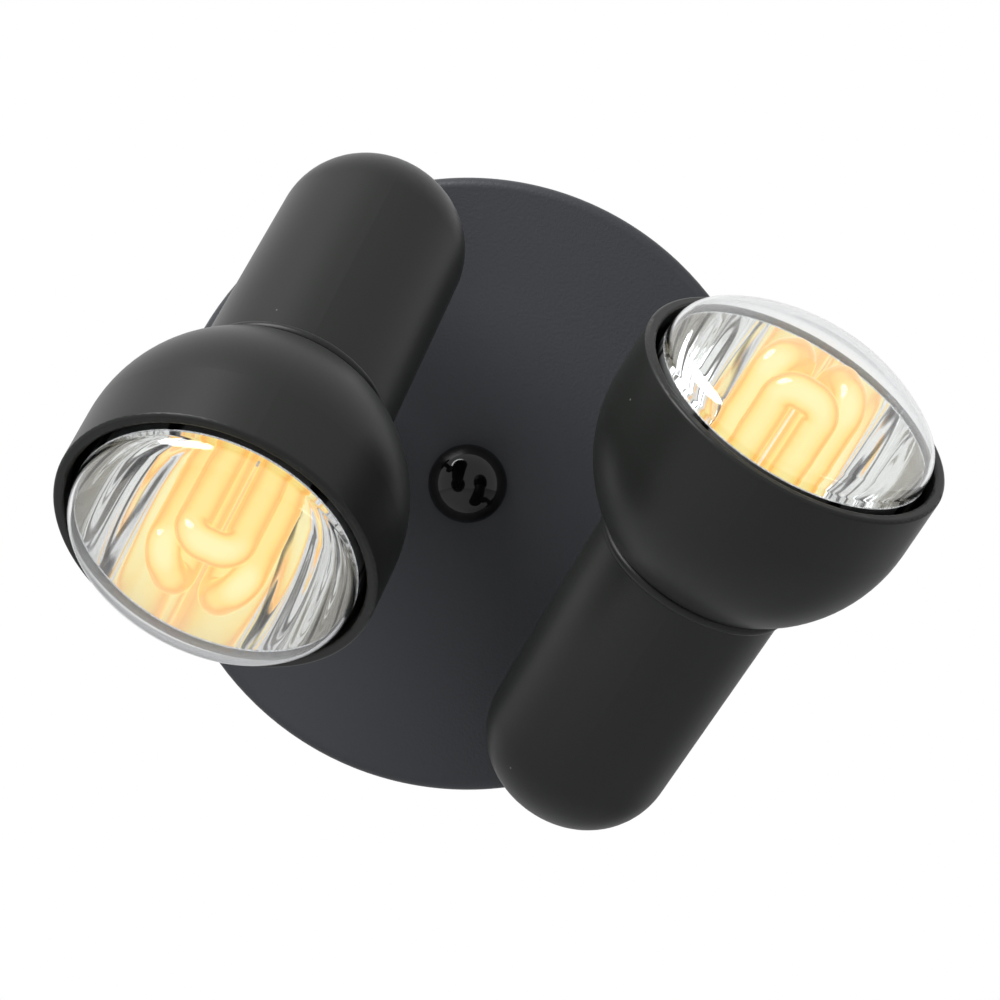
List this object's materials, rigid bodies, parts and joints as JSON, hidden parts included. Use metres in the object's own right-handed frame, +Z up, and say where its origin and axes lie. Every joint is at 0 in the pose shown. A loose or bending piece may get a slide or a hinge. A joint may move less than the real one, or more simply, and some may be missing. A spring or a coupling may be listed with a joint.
{
  "type": "two-head wall spotlight",
  "caption": "Wall spotlight with a round backplate and swivelling, tilting bell-mouthed lamp housings, each holding a screw-in reflector lamp.",
  "frame": {"origin": "centre of the backplate's back, on the wall and midway between the two wall screws", "axes": "+X right, +Z up as it hangs on a wall, -Y into the room"},
  "size_m": [0.2364, 0.1836, 0.1897],
  "materials": {
    "plate_paint": "satin dark blue-grey powder coat with a fine orange peel, on steel sheet",
    "housing_paint": "satin black stove enamel on cast aluminium",
    "knuckle_paint": "satin black enamel on a zinc casting",
    "gloss_black": "gloss black lacquer on brass",
    "black_screw": "black oxide on steel",
    "zinc_plate": "bright zinc plate on steel",
    "nickel": "nickel plate on brass sheet",
    "brass": "plain brass",
    "phenolic": "black moulded phenolic",
    "white_plastic": "off-white moulded plastic",
    "fibre": "red-brown vulcanised fibre",
    "clear_glass": "clear blown glass",
    "mirror_coat": "aluminium mirror coat inside blown glass, slightly wavy",
    "tube_glow": "fluorescent tube glass, lit warm white"
  },
  "bodies": {
    "root": {"backplate": "plate_paint", "mounting_bracket": "zinc_plate", "centre_stud": "zinc_plate", "stud_nut": "zinc_plate", "cap_nut": "gloss_black", "earth_screw": "brass", "terminal_block": "white_plastic", "terminal_inserts": "brass", "terminal_screws": "zinc_plate", "block_screws": "zinc_plate", "plate_washers": "fibre"},
    "left_swivel": {"left_swivel_base": "knuckle_paint", "left_nipple": "brass", "left_spring_washer": "zinc_plate", "left_nipple_nut": "zinc_plate", "left_tilt_screw": "black_screw", "left_tilt_nut": "zinc_plate", "left_friction_washer": "fibre"},
    "left_head": {"left_head_knuckle": "knuckle_paint", "left_head_nut": "zinc_plate", "left_housing": "housing_paint", "left_holder_strap": "zinc_plate", "left_lampholder": "phenolic", "left_holder_nut": "zinc_plate", "left_screw_shell": "brass", "left_centre_contact": "brass", "left_holder_screws": "zinc_plate"},
    "left_lamp": {"left_lamp_glass": "clear_glass", "left_lamp_reflector": "mirror_coat", "left_lamp_tubes": "tube_glow", "left_lamp_base": "white_plastic", "left_lamp_cap": "nickel", "left_lamp_insulator": "phenolic", "left_lamp_contact": "brass"},
    "right_swivel": {"right_swivel_base": "knuckle_paint", "right_nipple": "brass", "right_spring_washer": "zinc_plate", "right_nipple_nut": "zinc_plate", "right_tilt_screw": "black_screw", "right_tilt_nut": "zinc_plate", "right_friction_washer": "fibre"},
    "right_head": {"right_head_knuckle": "knuckle_paint", "right_head_nut": "zinc_plate", "right_housing": "housing_paint", "right_holder_strap": "zinc_plate", "right_lampholder": "phenolic", "right_holder_nut": "zinc_plate", "right_screw_shell": "brass", "right_centre_contact": "brass", "right_holder_screws": "zinc_plate"},
    "right_lamp": {"right_lamp_glass": "clear_glass", "right_lamp_reflector": "mirror_coat", "right_lamp_tubes": "tube_glow", "right_lamp_base": "white_plastic", "right_lamp_cap": "nickel", "right_lamp_insulator": "phenolic", "right_lamp_contact": "brass"}
  },
  "joints": [
    {"name": "left_pan", "type": "hinge", "parent": "root", "child": "left_swivel", "pos_m": [-0.0455, -0.02, 0.0395], "axis": [0, -1, 0], "range_deg": [-180, 20]},
    {"name": "left_tilt", "type": "hinge", "parent": "left_swivel", "child": "left_head", "pos_m": [-0.04455, -0.046, 0.03521], "axis": [-0.9092, 0, 0.4163], "range_deg": [-42, 29.5]},
    {"name": "left_lamp_turn", "type": "hinge", "parent": "left_head", "child": "left_lamp", "pos_m": [-0.03095, -0.07575, 0.05856], "axis": [-0.3089, -0.6704, -0.6746], "range_deg": [0, 360]},
    {"name": "right_pan", "type": "hinge", "parent": "root", "child": "right_swivel", "pos_m": [0.0455, -0.02, -0.0395], "axis": [0, -1, 0], "range_deg": [-150, 30]},
    {"name": "right_tilt", "type": "hinge", "parent": "right_swivel", "child": "right_head", "pos_m": [0.04593, -0.046, -0.04387], "axis": [0.8526, 0, -0.5225], "range_deg": [-29.5, 42]},
    {"name": "right_lamp_turn", "type": "hinge", "parent": "right_head", "child": "right_lamp", "pos_m": [0.03775, -0.08076, -0.0623], "axis": [0.453, -0.4985, 0.7392], "range_deg": [0, 360]}
  ]
}
